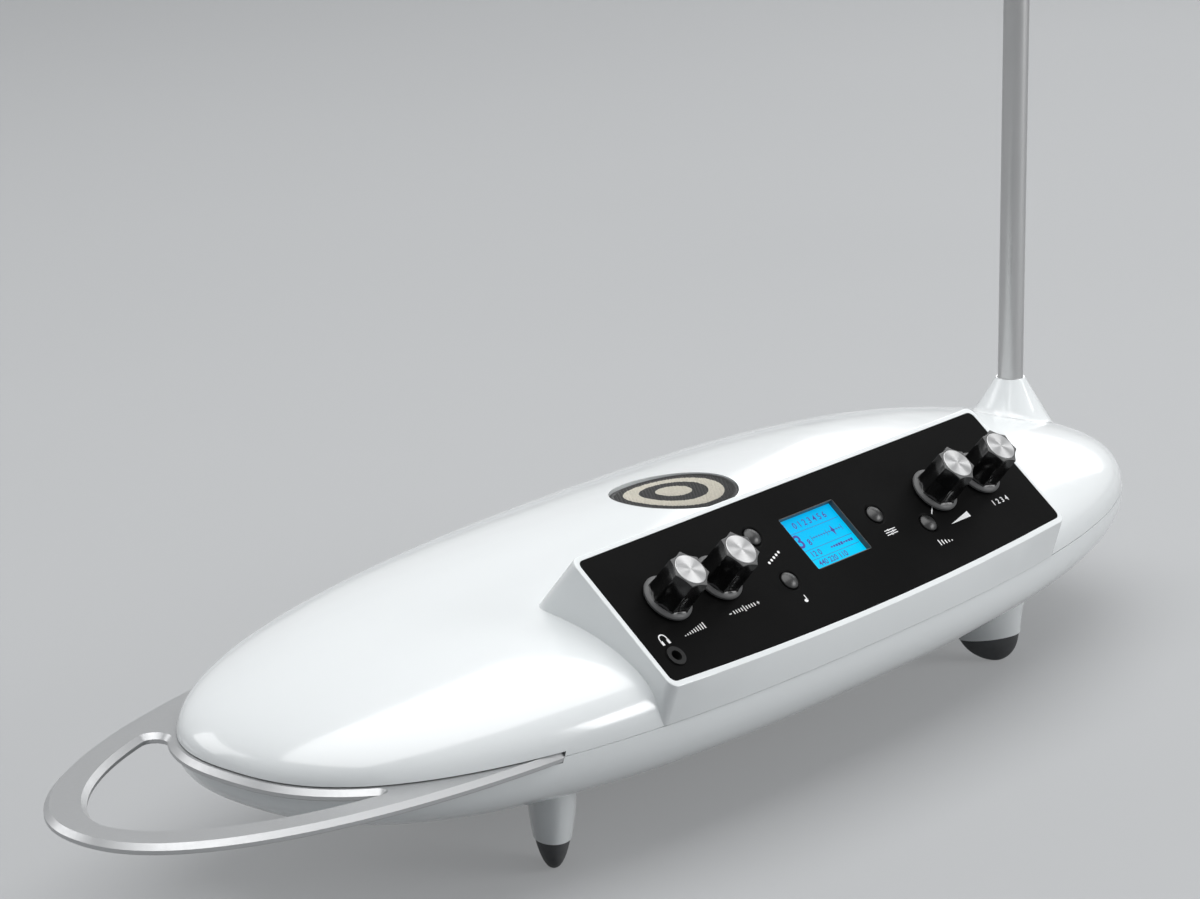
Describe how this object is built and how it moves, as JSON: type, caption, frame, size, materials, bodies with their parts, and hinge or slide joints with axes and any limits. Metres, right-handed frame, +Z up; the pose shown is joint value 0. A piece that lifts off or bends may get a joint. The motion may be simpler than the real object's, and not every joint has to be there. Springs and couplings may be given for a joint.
{
  "type": "theremin",
  "caption": "Tabletop theremin: white moulded body on four legs, tilted control panel, pitch rod, flat metal volume plate, speaker grille and rear sockets.",
  "frame": {"origin": "mouth of the stand thread, in the middle of the flat underside", "axes": "+X along the body towards the pitch rod, -X towards the volume plate, -Y towards the player, +Z up"},
  "size_m": [0.4819, 0.1554, 0.5176],
  "materials": {
    "white_shell": "gloss moulded white",
    "black_panel": "satin black",
    "black_gloss": "gloss black",
    "turned_aluminium": "spun on the lathe",
    "shaft_steel": "plain",
    "control_metal": "plated",
    "satin_plate": "satin, bevelled edges bright",
    "satin_rod": "satin",
    "brass": "plain",
    "rubber": "matt",
    "display": "lit from behind",
    "black_plastic": "matt black",
    "usb_metal": "plated",
    "circuit_board": "green",
    "board_part": "matt",
    "grille_metal": "black mesh with cream rings",
    "cone_paper": "pressed paper"
  },
  "bodies": {
    "housing": {"top_shell": "white_shell", "bottom_shell": "white_shell", "control_panel": "black_panel", "display_glass": "display", "display_frame": "black_plastic", "panel_board": "circuit_board", "button_switches": "black_plastic", "headphone_jack": "black_plastic", "volume_antenna": "satin_plate", "volume_antenna_screws": "shaft_steel", "antenna_socket": "brass", "speaker_grille": "grille_metal", "speaker_frame": "control_metal", "speaker_cone": "cone_paper", "jack_panel": "black_panel", "jack_nuts": "control_metal", "power_inlet": "black_plastic", "usb_port": "usb_metal", "power_switch": "black_plastic", "main_board": "circuit_board", "board_parts": "board_part", "board_screws": "shaft_steel", "shell_screws": "shaft_steel", "stand_insert": "brass", "control_nuts": "control_metal", "audio_jack_left": "black_plastic", "audio_jack_right": "black_plastic", "pitch_voltage_jack": "black_plastic", "front_left_foot": "rubber", "front_right_foot": "rubber", "rear_left_foot": "rubber", "rear_right_foot": "rubber", "volume_control": "control_metal", "pitch_bias_control": "control_metal", "amount_control": "control_metal", "preset_control": "control_metal"},
    "volume_knob": {"volume_knob": "black_gloss", "volume_knob_cap": "turned_aluminium", "volume_shaft": "shaft_steel"},
    "pitch_bias_knob": {"pitch_bias_knob": "black_gloss", "pitch_bias_knob_cap": "turned_aluminium", "pitch_bias_shaft": "shaft_steel"},
    "amount_knob": {"amount_knob": "black_gloss", "amount_knob_cap": "turned_aluminium", "amount_shaft": "shaft_steel"},
    "preset_knob": {"preset_knob": "black_gloss", "preset_knob_cap": "turned_aluminium", "preset_shaft": "shaft_steel"},
    "scale_button": {"scale_button": "black_gloss"},
    "root_button": {"root_button": "black_gloss"},
    "setup_button": {"setup_button": "black_gloss"},
    "delay_button": {"delay_button": "black_gloss"},
    "power_button": {"power_button": "black_gloss"},
    "pitch_antenna_lower": {"pitch_antenna_lower": "satin_rod"},
    "pitch_antenna_upper": {"pitch_antenna_upper": "satin_rod"}
  },
  "joints": [
    {"name": "volume_turn", "type": "hinge", "parent": "housing", "child": "volume_knob", "pos_m": [-0.0814, -0.05566, 0.05774], "axis": [0, -0.6327, 0.7744], "range_deg": [-150, 150]},
    {"name": "pitch_bias_turn", "type": "hinge", "parent": "housing", "child": "pitch_bias_knob", "pos_m": [-0.0569, -0.05566, 0.05774], "axis": [0, -0.6327, 0.7744], "range_deg": [-150, 150]},
    {"name": "amount_turn", "type": "hinge", "parent": "housing", "child": "amount_knob", "pos_m": [0.0569, -0.05566, 0.05774], "axis": [0, -0.6327, 0.7744], "range_deg": [-150, 150]},
    {"name": "preset_turn", "type": "hinge", "parent": "housing", "child": "preset_knob", "pos_m": [0.0814, -0.05566, 0.05774], "axis": [0, -0.6327, 0.7744], "continuous": true},
    {"name": "scale_button_press", "type": "slide", "parent": "housing", "child": "scale_button", "axis": [0, 0.6327, -0.7744], "range_m": [0, 0.0008], "stiffness_N_per_m": 800, "springref_m": -0.0005},
    {"name": "root_button_press", "type": "slide", "parent": "housing", "child": "root_button", "axis": [0, 0.6327, -0.7744], "range_m": [0, 0.0008], "stiffness_N_per_m": 800, "springref_m": -0.0005},
    {"name": "setup_button_press", "type": "slide", "parent": "housing", "child": "setup_button", "axis": [0, 0.6327, -0.7744], "range_m": [0, 0.0008], "stiffness_N_per_m": 800, "springref_m": -0.0005},
    {"name": "delay_button_press", "type": "slide", "parent": "housing", "child": "delay_button", "axis": [0, 0.6327, -0.7744], "range_m": [0, 0.0008], "stiffness_N_per_m": 800, "springref_m": -0.0005},
    {"name": "power_press", "type": "slide", "parent": "housing", "child": "power_button", "axis": [0, -1, 0], "range_m": [0, 0.002], "stiffness_N_per_m": 500, "springref_m": -0.001},
    {"name": "pitch_antenna_lift", "type": "slide", "parent": "housing", "child": "pitch_antenna_lower", "axis": [0, 0, 1], "range_m": [0, 0.028]},
    {"name": "pitch_antenna_part", "type": "slide", "parent": "pitch_antenna_lower", "child": "pitch_antenna_upper", "axis": [0, 0, 1], "range_m": [0, 0.012]}
  ]
}
